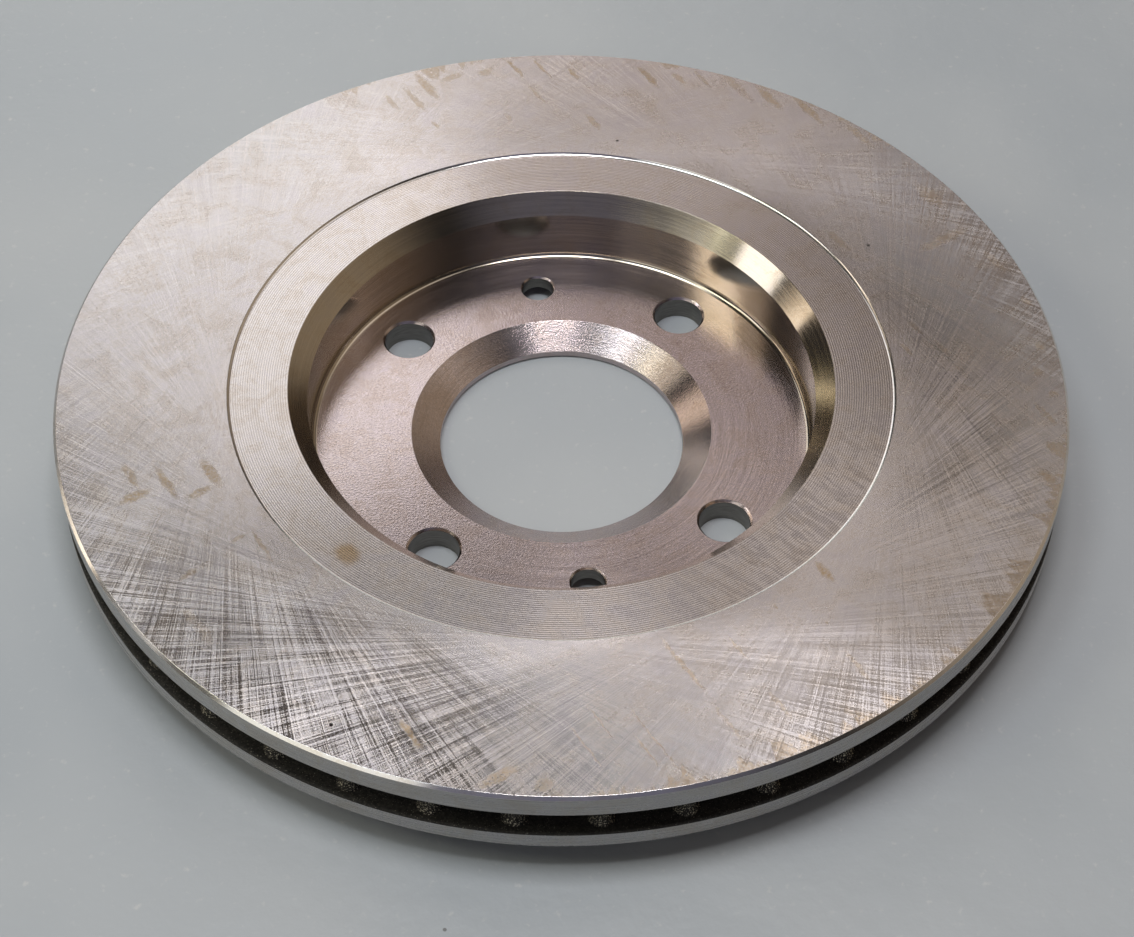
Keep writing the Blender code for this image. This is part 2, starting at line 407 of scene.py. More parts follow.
def bump(tree, height, distance, under=None):
    """A Bump node, on top of another one if there is one."""
    node = tree.nodes.new("ShaderNodeBump")
    node.inputs["Distance"].default_value = distance
    wire(tree, node.inputs["Height"], height)
    if under is not None:
        wire(tree, node.inputs["Normal"], under)
    return node.outputs["Normal"]


def new_group(name, inputs, outputs):
    """An empty node group, with what it is given and what it puts out. Sockets have a kind."""
    group = bpy.data.node_groups.new(name, "ShaderNodeTree")
    for sockets, side in ((inputs, "INPUT"), (outputs, "OUTPUT")):
        for socket, kind in sockets.items():
            group.interface.new_socket(socket, in_out=side, socket_type="NodeSocket" + kind)
    given = group.nodes.new("NodeGroupInput").outputs
    result = group.nodes.new("NodeGroupOutput").inputs
    return group, given, result


def use_group(tree, group, values):
    """Places a group in a tree and hands back its outputs."""
    node = tree.nodes.new("ShaderNodeGroup")
    node.node_tree = group
    for socket, value in values.items():
        wire(tree, node.inputs[socket], value)
    return node.outputs


def new_material(name):
    """An empty Principled material, with its tree and its shader."""
    material = bpy.data.materials.new(name)
    material.use_nodes = True
    return material, material.node_tree, material.node_tree.nodes["Principled BSDF"]


def look(tree, shader, colour, roughness, metallic, normal):
    """Sets what every finish has. Plain values are written on the shader's own sockets."""
    names = ("Base Color", "Roughness", "Metallic", "Normal")
    for name, value in zip(names, (colour, roughness, metallic, normal)):
        wire(tree, shader.inputs[name], value)


def millimetres(tree):
    """Object coordinates in millimetres."""
    place = tree.nodes.new("ShaderNodeTexCoord").outputs["Object"]
    return vector(tree, "SCALE", place, scale=1000.0)


print("helpers are ready")

# %% [markdown]
# ## Swirl-ground iron
#
# The friction faces were finished by a cup wheel wider than the ring. Each grain of the wheel
# drew an almost straight line that just touches a circle near the inner edge of the ring, and
# two such families of lines cross. Close to the inner edge both run round the disc, and at
# the rim they cross at nearly a right angle. That is why the light opens into fans.
#
# A line of a family is a place where one angle stays the same: the direction from the axis to
# the point where the line touches its circle. So noise read at that direction is the same all
# along a line, and every line of it is a scratch. The direction itself is also the way in which
# a scratch spreads light, so it becomes the tangent of the shader. Which family a point belongs
# to is decided scratch by scratch, by whichever noise is higher there.

# %% The two families of scratches
TOUCH_R = 87.3  # mm, the circle that the lines touch
FINE_LINES = 430.0  # scratches in one radian of a family
BROAD_LINES = 210.0
DEEP_LINES = 400.0


def scratch_directions(tree, place):
    """For both families, the direction from the axis to where the line here touches its circle."""
    x, y, _ = split(tree, place)
    square = plus(tree, times(tree, x, x), times(tree, y, y))
    beyond = number(tree, "MAXIMUM", minus(tree, square, TOUCH_R**2), 0.0)
    across = number(tree, "DIVIDE", TOUCH_R, square)
    along = number(tree, "DIVIDE", number(tree, "SQRT", beyond), square)
    xa, ya = times(tree, x, across), times(tree, y, across)
    xs, ys = times(tree, x, along), times(tree, y, along)
    ahead = join(tree, minus(tree, xa, ys), plus(tree, ya, xs), 0.0)
    behind = join(tree, plus(tree, xa, ys), minus(tree, ya, xs), 0.0)
    return ahead, behind, number(tree, "SQRT", square)


def scratches(tree, directions, radius, sides, lines, change, detail=2.0):
    """For each family, noise that stays the same along a line and changes slowly with the radius."""
    families = []
    for direction, side in zip(directions, sides):
        slow = plus(tree, times(tree, radius, change), side)
        start = vector(tree, "ADD", direction, join(tree, 0.0, 0.0, slow))
        families.append(noise(tree, start, lines, detail, 0.6))
    return families


def either(tree, choice, at_zero, at_one):
    """One value where the choice is zero, the other where it is one."""
    return plus(tree, times(tree, at_one, choice), times(tree, at_zero, minus(tree, 1.0, choice)))


print("two families of lines touch a circle of", 2 * TOUCH_R, "mm")

# %% [markdown]
# ## Marks of oil, water and storage
#
# A new disc is shipped oiled. Oil and water have dried on this one as golden-brown marks. It
# stood on edge while they dried, so nearly all of them run the same way. Each mark is therefore an
# ellipse along that flow. The points are first pushed about by noise, which makes the edges
# ragged. Along the rim the oil has gathered into a fringe with tongues that reach inwards.

# %% Shapes of marks
FLOW = math.radians(-65)
# x and y in mm, length along the flow and width across it in mm, strength.
MARKS = (
    (-25, 122, 12, 2.4, 0.60), (-29, 116, 11, 1.8, 0.50), (-36, 116, 7, 1.8, 0.45),
    (-17, 125, 3, 6.5, 0.50), (-7, 126, 3, 4.5, 0.45), (2, 127, 9, 1.2, 0.70), (10, 126, 9, 1.2, 0.65),
    (19, 122, 4.4, 1.5, 0.75), (41, 118, 9, 1.8, 0.70), (50, 116, 5, 2.1, 0.60), (57, 115, 8, 1.5, 0.40),
    (67, 109, 13, 2.4, 0.40), (75, 104, 11, 2.4, 0.65), (85.5, 97, 13, 2.4, 0.70), (7, 114, 8, 1.5, 0.40),
    (22, 99.4, 7.3, 1.8, 0.60), (-24, 104, 3.8, 1.2, 0.55), (-2.6, 104.5, 3.9, 1.5, 0.35),
    (37, 107, 13, 6.5, 0.22), (-113, -22, 8.3, 1.8, 0.55), (-112, -29, 3.0, 7.6, 0.70),
    (-104, -25.5, 10.6, 2.0, 0.65), (-92.7, -23.6, 8.9, 2.7, 0.65), (-95.6, -29.5, 2.2, 5.4, 0.60),
    (-87, -46, 1.0, 3.8, 0.40), (-81, -49, 9.8, 1.2, 0.50), (-99.3, -55.8, 1.8, 4.6, 0.50),
    (-99, -69, 5.2, 2.2, 0.35), (-96, -74, 7.8, 2.9, 0.35), (-49.3, -109.6, 8.8, 1.6, 0.85),
    (-30.5, -124.2, 2.6, 9.0, 0.70), (-20.5, -127.6, 3.0, 4.0, 0.50), (-9.3, -118.4, 13.3, 0.6, 0.50),
    (-5.2, -112, 10, 0.5, 0.40), (4.5, -121.6, 8.6, 0.7, 0.50), (6.5, -118, 18, 0.6, 0.45),
    (16.6, -98.1, 16.8, 1.2, 0.60), (24.3, -115.9, 10.4, 1.2, 0.35), (30.3, -94.6, 7.7, 0.7, 0.50),
    (41.6, -83.8, 2.3, 0.8, 0.50), (37, -112, 8.4, 1.4, 0.40), (57.9, -104.1, 9.9, 1.2, 0.45),
    (53, -90, 1.5, 0.8, 0.50), (53, -116.6, 3.0, 1.2, 0.30), (98, 84, 10, 2.3, 0.50),
    (113, 55, 10.4, 4.2, 0.45), (111.6, 37.4, 3.0, 15, 0.45), (124, 27.6, 7.6, 2.2, 0.35),
    (129, 11, 4, 1.8, 0.50), (128, -6.2, 3, 2.1, 0.50), (125, -15.3, 2.7, 1.9, 0.40),
    (127, -23.6, 2.5, 2.1, 0.50), (123, -30, 8.4, 1.6, 0.40), (122, -42, 4.8, 2.6, 0.60),
    (118, -51.6, 5.5, 2.8, 0.60), (96.6, 4.8, 5.5, 1.6, 0.40), (92.5, -2.9, 4.8, 1.3, 0.45),
    (102, -3, 6.2, 1.3, 0.25), (105, -12.6, 6.1, 1.6, 0.25), (83, 41, 7.9, 2.2, 0.40),
    (55.7, -74.6, 6.0, 2.0, 0.80), (-60.2, -53.9, 6.4, 5.4, 0.9),
)
PITS = ((27.8, 90.4), (90.8, 38.0), (-67.3, -104.9))
# The fringe: from and to in degrees, how far the tongues reach in, in mm.
FRINGES = ((262.0, 346.0, 7.0), (92.0, 112.0, 7.0), (34.0, 72.0, 4.0))
RIM_R = DISC_R / MM
STAIN = (0.76, 0.62, 0.42)
PORE = (0.06, 0.05, 0.045)


def radial_direction(tree, x, y, radius):
    """The unit vector from the axis to here."""
    return join(tree, number(tree, "DIVIDE", x, radius), number(tree, "DIVIDE", y, radius), 0.0)


def ragged(tree, place, size, reach_mm):
    """The place, pushed about by up to reach_mm."""
    push = noise(tree, place, 1.0 / size, 3.0, output="Color")
    push = vector(tree, "SUBTRACT", push, (0.5, 0.5, 0.5))
    return vector(tree, "ADD", place, vector(tree, "SCALE", push, scale=2.0 * reach_mm))


def greatest(tree, masks):
    """The highest of several masks."""
    top = masks[0]
    for mask in masks[1:]:
        top = number(tree, "MAXIMUM", top, mask)
    return top


def flat_way(angle):
    """The level unit vector at an angle."""
    return (math.cos(angle), math.sin(angle), 0.0)


def marks_group():
    """Soft ellipses along the flow, as a mask."""
    group, given, result = new_group("oil marks", {"Place": "Vector"}, {"Mask": "Float"})
    pushed = ragged(group, given["Place"], 2.6, 1.0)
    ahead = vector(group, "DOT_PRODUCT", pushed, flat_way(FLOW))
    aside = vector(group, "DOT_PRODUCT", pushed, flat_way(FLOW + math.pi / 2))
    flow = join(group, ahead, aside, 0.0)
    masks = []
    for x, y, length, width, strength in MARKS:
        middle = (
            x * math.cos(FLOW) + y * math.sin(FLOW),
            y * math.cos(FLOW) - x * math.sin(FLOW),
        )
        scale = (2.0 / length, 2.0 / width)
        shift = (-middle[0] * scale[0], -middle[1] * scale[1], 0.0)
        away = vector(group, "LENGTH", vector(group, "MULTIPLY_ADD", flow, (*scale, 0.0), shift))
        masks.append(step(group, away, 1.5, 0.55, 0.0, strength))
    wire(group, result["Mask"], greatest(group, masks))
    return group


def pits(tree, place):
    """Small dark pores of the casting, opened by the grinding."""
    masks = []
    for x, y in PITS:
        away = vector(tree, "LENGTH", vector(tree, "SUBTRACT", place, (x, y, FACE_Z / MM)))
        masks.append(step(tree, away, 0.6, 0.25))
    return greatest(tree, masks)


def fringe(tree, direction, radius):
    """Tongues that reach in from the rim, between two angles."""
    tongues = step(tree, noise(tree, direction, 17.0, 3.0, 0.6), 0.40, 0.70)
    masks = []
    for start, end, depth in FRINGES:
        middle, half = math.radians((start + end) / 2), math.radians((end - start) / 2)
        facing = vector(tree, "DOT_PRODUCT", direction, flat_way(middle))
        window = step(tree, facing, math.cos(half + 0.12), math.cos(half - 0.12))
        inwards = number(tree, "MULTIPLY_ADD", tongues, depth, 1.0)
        edge = minus(tree, RIM_R, times(tree, inwards, window))
        soft = plus(tree, edge, 2.2)
        masks.append(times(tree, step(tree, radius, edge, soft), window))
    return greatest(tree, masks)


OIL_MARKS = marks_group()
print(len(MARKS), "marks,", len(PITS), "pits and", len(FRINGES), "fringes")

# %% [markdown]
# One effect serves every machined surface: the film, a faint cloudy change of colour and
# gloss that handling and oil leave. It is a node group, so that each material sets its own size
# and strength. A group gives out only a colour and values. The shader stays in the material.


# %% The film, as a group
WARM_FILM = (0.86, 0.79, 0.69)
COOL_FILM = (0.90, 0.90, 0.97)


def film_group():
    """A cloudy change of colour and gloss. Fineness is the number of clouds in a mm."""
    group, given, result = new_group(
        "oil film",
        {"Place": "Vector", "Colour": "Color", "Fineness": "Float", "Strength": "Float"},
        {"Colour": "Color", "Dullness": "Float"},
    )
    scaled = vector(group, "SCALE", given["Place"], scale=given["Fineness"])
    clouds = noise(group, scaled, 1.0, 5.0, 0.62, 0.8)
    specks = noise(group, scaled, 12.0, 3.0, 0.6)
    mixed = number(group, "MULTIPLY_ADD", specks, 0.35, times(group, clouds, 0.65))
    warm = times(group, step(group, mixed, 0.46, 0.62), given["Strength"])
    cool = times(group, step(group, mixed, 0.5, 0.36), given["Strength"])
    warmed = blend(group, warm, given["Colour"], WARM_FILM, "MULTIPLY")
    cooled = blend(group, cool, warmed, COOL_FILM, "MULTIPLY")
    wire(group, result["Colour"], cooled)
    dull = times(group, minus(group, mixed, 0.45), given["Strength"])
    wire(group, result["Dullness"], times(group, dull, 0.25))
    return group


FILM = film_group()


def film(tree, place, colour, fineness, strength):
    """Places the film in a material. Returns the colour under it and how much duller it makes it."""
    values = {"Place": place, "Colour": colour, "Fineness": fineness, "Strength": strength}
    outputs = use_group(tree, FILM, values)
    return outputs["Colour"], outputs["Dullness"]


def shade_by(tree, colour, light):
    """The colour, lightened or darkened by a number."""
    return blend(tree, 1.0, colour, join(tree, light, light, light), "MULTIPLY")


print("group:", FILM.name)

# %% The swirl-ground material
GROUND_IRON = (0.555, 0.515, 0.505)


def ground_iron(name, marked):
    """A ground friction face. The marks are only on the face that lies upwards."""
    material, tree, shader = new_material(name)
    place = millimetres(tree)
    x, y, _ = split(tree, place)
    ahead, behind, radius = scratch_directions(tree, place)
    outward = radial_direction(tree, x, y, radius)
    ways = (ahead, behind)
    fine_ahead, fine_behind = scratches(tree, ways, radius, (0.0, 3.7), FINE_LINES, 0.0001)
    broad_ahead, broad_behind = scratches(tree, ways, radius, (1.9, 7.3), BROAD_LINES, 0.0004, 4.0)
    patches = noise(tree, place, 0.035, 2.0)
    lead = minus(tree, fine_ahead, fine_behind)
    broad = minus(tree, broad_ahead, broad_behind)
    lead = number(tree, "MULTIPLY_ADD", broad, 0.04, lead)
    lead = plus(tree, lead, step(tree, patches, 0.3, 0.7, -0.05, 0.05))
    family = step(tree, lead, -0.08, 0.08)
    fine = either(tree, family, fine_behind, fine_ahead)
    wide = either(tree, family, broad_behind, broad_ahead)
    deepest = greatest(tree, scratches(tree, ways, radius, (9.1, 5.3), DEEP_LINES, 0.00006, 1.0))
    deep = step(tree, deepest, 0.64, 0.76)
    light = times(tree, step(tree, fine, 0.3, 0.7, 0.96, 1.04), step(tree, wide, 0.3, 0.7, 0.95, 1.05))
    light = number(tree, "MULTIPLY_ADD", deep, 0.16, light)
    colour, dullness = film(tree, place, shade_by(tree, GROUND_IRON, light), 0.11, 0.45)
    roughness = plus(tree, step(tree, wide, 0.3, 0.7, 0.265, 0.24), dullness)
    if marked:
        flecks = noise(tree, place, 1.5, 3.0, 0.65)
        stains = use_group(tree, OIL_MARKS, {"Place": place})["Mask"]
        tongues = times(tree, fringe(tree, outward, radius), 0.55)
        stains = number(tree, "MAXIMUM", stains, tongues)
        stains = times(tree, stains, step(tree, flecks, 0.35, 0.6, 0.3, 1.25))
        colour = blend(tree, stains, colour, STAIN, "MULTIPLY")
        colour = blend(tree, pits(tree, place), colour, PORE)
        roughness = number(tree, "MULTIPLY_ADD", stains, 0.08, roughness)
    shader.inputs["Anisotropic"].default_value = 0.9
    wire(tree, shader.inputs["Tangent"], lean(tree, family, behind, ahead))
    scratched = bump(tree, plus(tree, fine, wide), 0.002 * MM)
    look(tree, shader, colour, roughness, 1.0, bump(tree, deep, 0.003 * MM, under=scratched))
    return material


GROUND_FACE = ground_iron("swirl ground iron with oil marks", True)
GROUND_UNDERSIDE = ground_iron("swirl ground iron", False)
print(len(GROUND_FACE.node_tree.nodes), "nodes in", GROUND_FACE.name)

# %% [markdown]
# ## Turned iron
#
# The land, the inside of the hat and the rim were turned on a lathe, so their grooves run round
# the axis. The shader's tangent is the direction across the grooves: the cross product of the
# way round the axis and the surface's normal. It works on a flat face, a cone and a wall alike.
# The grooves are counted along the section, at radius plus height, which grows on every
# face that the tool passed over. Part of their light is as regular as the feed of the tool, and
# part is noise. A little grain stands for torn iron between the grooves. The chamfers and the
# small step beside the land have a finish of their own. It is smoother, and its colour is lighter
# than turned iron is, so the colour paints in part of the bright highlight along these edges.


# %% The turned material
NEAR_SIDE = (0.25, -0.97, 0.0)
ALONG_SMEAR = (0.073, -0.083, 0.0)  # clouds in a mm
ACROSS_SMEAR = (0.41, 0.36, 0.0)
SMEAR = (0.66, 0.65, 0.66)


def across_grooves(tree, x, y, radius):
    """The direction on the surface that crosses the turning grooves."""
    minus_y = times(tree, y, -1.0)
    around = radial_direction(tree, minus_y, x, radius)
    normal = tree.nodes.new("ShaderNodeNewGeometry").outputs["Normal"]
    return vector(tree, "CROSS_PRODUCT", around, normal)


def turning_group():
    """Grooves and torn grain: how light they are, and the heights of both."""
    group, given, result = new_group(
        "turning marks",
        {"Place": "Vector", "Feed": "Float", "Regular": "Float", "Grain": "Float"},
        {"Light": "Float", "Groove": "Float", "Torn": "Float"},
    )
    x, y, z = split(group, given["Place"])
    radius = vector(group, "LENGTH", join(group, x, y, 0.0))
    passed = number(group, "DIVIDE", plus(group, radius, z), given["Feed"])
    drift = number(group, "DIVIDE", 0.012, given["Feed"])
    sideways = times(group, x, drift)
    rings = join(group, passed, sideways, times(group, y, drift))
    uneven = noise(group, rings, 1.0, 3.0, 0.6)
    thread = number(group, "SINE", times(group, passed, 2 * math.pi))
    thread = number(group, "MULTIPLY_ADD", thread, 0.25, 0.5)
    groove = either(group, given["Regular"], uneven, thread)
    torn = noise(group, given["Place"], 1.7, 3.0, 0.65)
    gain = times(group, given["Grain"], 3.0)
    darkest = minus(group, 1.0, gain)
    speckle = step(group, torn, 0.25, 0.75, darkest, plus(group, 1.0, gain))
    deepest = number(group, "MULTIPLY_ADD", given["Regular"], -0.2, 0.86)
    highest = number(group, "MULTIPLY_ADD", given["Regular"], 0.12, 1.08)
    bands = step(group, groove, 0.2, 0.8, deepest, highest)
    wire(group, result["Light"], times(group, bands, speckle))
    wire(group, result["Groove"], groove)
    wire(group, result["Torn"], torn)
    return group


TURNING = turning_group()


def turned_iron(name, colour, roughness, anisotropy, feed, depth, regular, grain, smears=0.0):
    """Turned iron. The feed and the depths of groove and grain are in mm, regular is a share."""
    material, tree, shader = new_material(name)
    place = millimetres(tree)
    x, y, _ = split(tree, place)
    flat = join(tree, x, y, 0.0)
    values = {"Place": place, "Feed": feed, "Regular": regular, "Grain": grain}
    turning = use_group(tree, TURNING, values)
    tone = shade_by(tree, colour, turning["Light"])
    tone, dullness = film(tree, place, tone, 0.13, 0.45)
    if smears:
        swept = step(tree, vector(tree, "DOT_PRODUCT", flat, NEAR_SIDE), 30.0, 66.0, 0.0, smears)
        along = vector(tree, "DOT_PRODUCT", place, ALONG_SMEAR)
        aside = vector(tree, "DOT_PRODUCT", place, ACROSS_SMEAR)
        smear = noise(tree, join(tree, along, aside, 0.0), 1.0, 4.0, 0.6, 1.2)
        streak = times(tree, step(tree, smear, 0.48, 0.54), swept)
        tone = blend(tree, streak, tone, SMEAR, "MULTIPLY")
        dullness = number(tree, "MULTIPLY_ADD", streak, 0.06, dullness)
        stains = use_group(tree, OIL_MARKS, {"Place": place})["Mask"]
        tone = blend(tree, stains, tone, STAIN, "MULTIPLY")
    base = step(tree, turning["Groove"], 0.3, 0.7, roughness - 0.03, roughness + 0.03)
    dull = plus(tree, base, dullness)
    shader.inputs["Anisotropic"].default_value = anisotropy
    radius = vector(tree, "LENGTH", flat)
    wire(tree, shader.inputs["Tangent"], across_grooves(tree, x, y, radius))
    grooved = bump(tree, turning["Groove"], depth * MM)
    look(tree, shader, tone, dull, 1.0, bump(tree, turning["Torn"], grain * MM, under=grooved))
    return material


TURNED_LAND = turned_iron(
    "turned land", (0.575, 0.53, 0.51), 0.23, 0.75, 0.62, 0.018, 0.75, 0.006, smears=0.7
)
# Darker and browner than the land: part of this colour is painted shade inside the hat.
HAT_WITH_PAINTED_SHADE = turned_iron("turned hat with painted shade", (0.47, 0.415, 0.35), 0.15, 0.6, 0.35, 0.003, 0.2, 0.001)
TURNED_FLANGE = turned_iron("turned flange", (0.54, 0.465, 0.46), 0.18, 0.86, 0.22, 0.003, 0.2, 0.032)
# Lighter than any other iron here: this colour paints part of the highlight on the chamfers and the step.
EDGE_WITH_PAINTED_HIGHLIGHT = turned_iron("turned edge with painted highlight", (0.74, 0.71, 0.69), 0.18, 0.7, 0.3, 0.001, 0.2, 0.0)
# Darker than the ground faces: this colour paints shade on the sides of both rims.
RIM_WITH_PAINTED_SHADE = turned_iron("turned rim with painted shade", (0.43, 0.415, 0.40), 0.27, 0.7, 0.4, 0.003, 0.2, 0.001)
print("turned finishes are ready")


# %% The drilled material
# Dark tones for the hole walls: painted shade inside the holes.
SHADED_DRILL_DARK = (0.17, 0.16, 0.145)
SHADED_DRILL_LIGHT = (0.26, 0.25, 0.23)


def drilled_iron():
    """The walls of the drilled holes: dull, ringed by the drill, and dark, which is painted shade."""
    material, tree, shader = new_material("drilled holes")
    place = millimetres(tree)
    rings = noise(tree, vector(tree, "MULTIPLY", place, (0.3, 0.3, 5.0)), 1.0, 3.0)
    tone = blend(tree, step(tree, rings, 0.3, 0.7), SHADED_DRILL_DARK, SHADED_DRILL_LIGHT)
    roughness = step(tree, rings, 0.3, 0.7, 0.34, 0.46)
    look(tree, shader, tone, roughness, 1.0, bump(tree, rings, 0.01 * MM))
    return material


DRILLED = drilled_iron()
print("finish:", DRILLED.name)

# %% [markdown]
# ## Cast skin
#
# Inside the vents nothing was machined. The iron still has the print of the sand mould:
# coarse grains, dark scale and some bare bright points. The scale's colour is darker than
# the iron's own, so that it also paints the shade deep in the vents. The ends of the vanes were
# brushed when the casting was cleaned, so more of their points are bare.


# %% The cast material
def casting_group():
    """The print of the sand, and the points where bare metal shows."""
    group, given, result = new_group(
        "sand mould",
        {"Place": "Vector", "Bare From": "Float"},
        {"Grains": "Float", "Bare": "Float"},
    )
    wire(group, result["Grains"], noise(group, given["Place"], 1.3, 4.0, 0.65))
    points = noise(group, given["Place"], 3.1, 1.0, 0.5)
    bare_to = plus(group, given["Bare From"], 0.08)
    wire(group, result["Bare"], step(group, points, given["Bare From"], bare_to))
    return group


CASTING = casting_group()


def cast_iron(name, bare_from, scale_and_shade_tone, bare_tone):
    """Raw sand-cast iron. Points whose noise is above bare_from are bare metal."""
    material, tree, shader = new_material(name)
    casting = use_group(tree, CASTING, {"Place": millimetres(tree), "Bare From": bare_from})
    grains, bare = casting["Grains"], casting["Bare"]
    # The scale's tone is darker than real scale: it also paints the shade in the vents.
    dark = tuple(channel * 0.3 for channel in scale_and_shade_tone)
    colour = blend(tree, step(tree, grains, 0.35, 0.7), dark, scale_and_shade_tone)
    colour = blend(tree, bare, colour, bare_tone)
    roughness = step(tree, bare, 0.0, 1.0, 0.8, 0.42)
    metallic = step(tree, bare, 0.0, 1.0, 0.2, 0.9)
    look(tree, shader, colour, roughness, metallic, bump(tree, grains, 0.35 * MM))
    return material


# Both scale tones are nearly black: real dark scale, with painted shade of the vents.
CAST_SKIN = cast_iron("sand cast iron", 0.66, (0.042, 0.037, 0.030), (0.26, 0.24, 0.20))
CAST_VANES = cast_iron("brushed cast iron", 0.57, (0.040, 0.035, 0.028), (0.66, 0.60, 0.46))
print("finishes:", CAST_SKIN.name, "and", CAST_VANES.name)

# %% [markdown]
# ## The inboard friction plate
#
# The ring that faces up. Its section starts at the foot of the small concave step that rises
# from the land, runs out over the ground face, round the chamfered rim, and back through the
# vents. The vent side is divided finely near the rim, where it can be seen, so that the
# mould's roughness is real shape there. Both plates are finished alike, by one function.

# %% Model the inboard plate
RISER_END = math.degrees(math.asin((FACE_Z - LAND_Z) / RISER_R - 1.0))
DEEP_R = 118.0 * MM  # inward of this, little of a vent can be seen
RIM_CUTS = 19
DEEP_CUTS = 9
MOULD_DEPTH = 0.5 * MM
PLATE_GRAIN = 1.6 * MM
TRUE_RIM = 0.2 * MM  # the mould's print stops this far inside the turned rim


def slot_side(co_z, plane):
    """True near the vent side of a plate."""
    return abs(co_z - plane) < 0.9 * SLOT_ROUND


def mould_side(plane):
    """A rule for the vertices of the vent side. The outermost ring stays true to the rim."""
    return lambda co: slot_side(co.z, plane) and math.hypot(co.x, co.y) < DISC_R - TRUE_RIM


def friction_materials(plane, ground_z):
    """A rule that paints a friction plate: ground, turned rim, cast vent side, turned edge."""

    def choose(centre, normal):
        if abs(centre.z - ground_z) < TOOL_NOSE / 2 and abs(normal.z) > 0.99:
            return 0
        # The chamfers and the step get the edge finish, whose lighter colour is a painted highlight.
        if abs(centre.z - ground_z) < RIM_CHAMFER + TOOL_NOSE and abs(normal.z) > 0.3:
            return 3
        # Otherwise the vent side, or the rim, whose darker colour is painted shade.
        return 2 if slot_side(centre.z, plane) else 1

    return choose


def finish_plate(plate, back_z, inner_r, ground_z, ground, slot_name, node):
    """Divides the vent side, spins the section, prints the mould into it and paints it."""
    divide((DISC_R - SLOT_ROUND, back_z), (DEEP_R, back_z), RIM_CUTS)
    divide((DEEP_R, back_z), (inner_r, back_z), DEEP_CUTS)
    spin_section()
    roughen(plate, mould_side(back_z), MOULD_DEPTH, PLATE_GRAIN)
    materials = (ground, RIM_WITH_PAINTED_SHADE, CAST_SKIN, EDGE_WITH_PAINTED_HIGHLIGHT)
    finish(plate, materials, friction_materials(back_z, ground_z), slot_name, node)


def inboard_plate():
    """The ground ring that the inner pad rubs on."""
    riser = arc_corners(LAND_R, LAND_Z + RISER_R, RISER_R, -90, RISER_END, steps=6)
    corners = riser + [
        (DISC_R - RIM_CHAMFER, FACE_Z, TOOL_NOSE),
        (DISC_R, FACE_Z - RIM_CHAMFER, TOOL_NOSE),
        (DISC_R, INBOARD_BACK_Z, SLOT_ROUND),
        (DEEP_R, INBOARD_BACK_Z, 0),
        (LAND_R, INBOARD_BACK_Z, 0),
    ]
    plate = draw_section("inboard_plate", corners)
    names = ("ground_inboard_face", "inboard_friction_plate")
    finish_plate(plate, INBOARD_BACK_Z, LAND_R, FACE_Z, GROUND_FACE, *names)


inboard_plate()

# %% [markdown]
# ## The outboard friction plate
#
# The same idea, turned over and thinner. Its inner edge is rounded where the cooling air comes in
# between the plate and the hat.


# %% Model the outboard plate
def outboard_plate():
    """The ground ring on the wheel side, carried by the vanes alone."""
    inlet_r = HAT_OUTER_R + INLET_WIDTH
    corners = [
        (inlet_r, OUTBOARD_BACK_Z, INLET_ROUND),
        (inlet_r, OUTBOARD_FACE_Z + INLET_CHAMFER, TOOL_NOSE),
        (inlet_r + INLET_CHAMFER, OUTBOARD_FACE_Z, TOOL_NOSE),
        (DISC_R - RIM_CHAMFER, OUTBOARD_FACE_Z, TOOL_NOSE),
        (DISC_R, OUTBOARD_FACE_Z + RIM_CHAMFER, TOOL_NOSE),
        (DISC_R, OUTBOARD_BACK_Z, SLOT_ROUND),
        (DEEP_R, OUTBOARD_BACK_Z, 0),
    ]
    plate = draw_section("outboard_plate", corners)
    round_end = inlet_r + INLET_ROUND
    names = ("ground_outboard_face", "outboard_friction_plate")
    finish_plate(plate, OUTBOARD_BACK_Z, round_end, OUTBOARD_FACE_Z, GROUND_UNDERSIDE, *names)


outboard_plate()

# %% [markdown]
# ## The neck: land and mouth cone
#
# Between the inboard plate and the mouth of the hat lies the land, a flat turned ring just below
# the ground face. Inside it the mouth opens in a cone. Underneath, a cast fillet runs
# down to the wall of the hat.


# %% Model the neck
def neck():
    """The turned land, the mouth cone and the fillet under them."""
    fillet = INBOARD_BACK_Z - NECK_FOOT_Z
    under = arc_corners(HAT_OUTER_R + fillet, NECK_FOOT_Z, fillet, 90, 180, steps=8)
    corners = [
        (HAT_BORE_R, MOUTH_Z, 0),
        (HAT_BORE_R + MOUTH_WIDTH, LAND_Z, TOOL_NOSE),
        (LAND_R, LAND_Z, 0),
        (LAND_R, INBOARD_BACK_Z, 0),
    ] + under
    ring = draw_section("neck", corners)
    spin_section()
    land_from = HAT_BORE_R + MOUTH_WIDTH

    def choose(centre, normal):
        on_land = math.hypot(centre.x, centre.y) > land_from and normal.z > 0.99
        return 0 if on_land else 2 if normal.z < -0.01 or centre.z < MOUTH_Z else 1

    finish(ring, (TURNED_LAND, HAT_WITH_PAINTED_SHADE, CAST_SKIN), choose, "turned_land", "neck_ring")


neck()

# %% [markdown]
# ## The wall of the hat
#
# A short drum. Inside it is turned down to a fillet at the floor. Outside it has a slight
# draft and a chamfer at the wheel face.


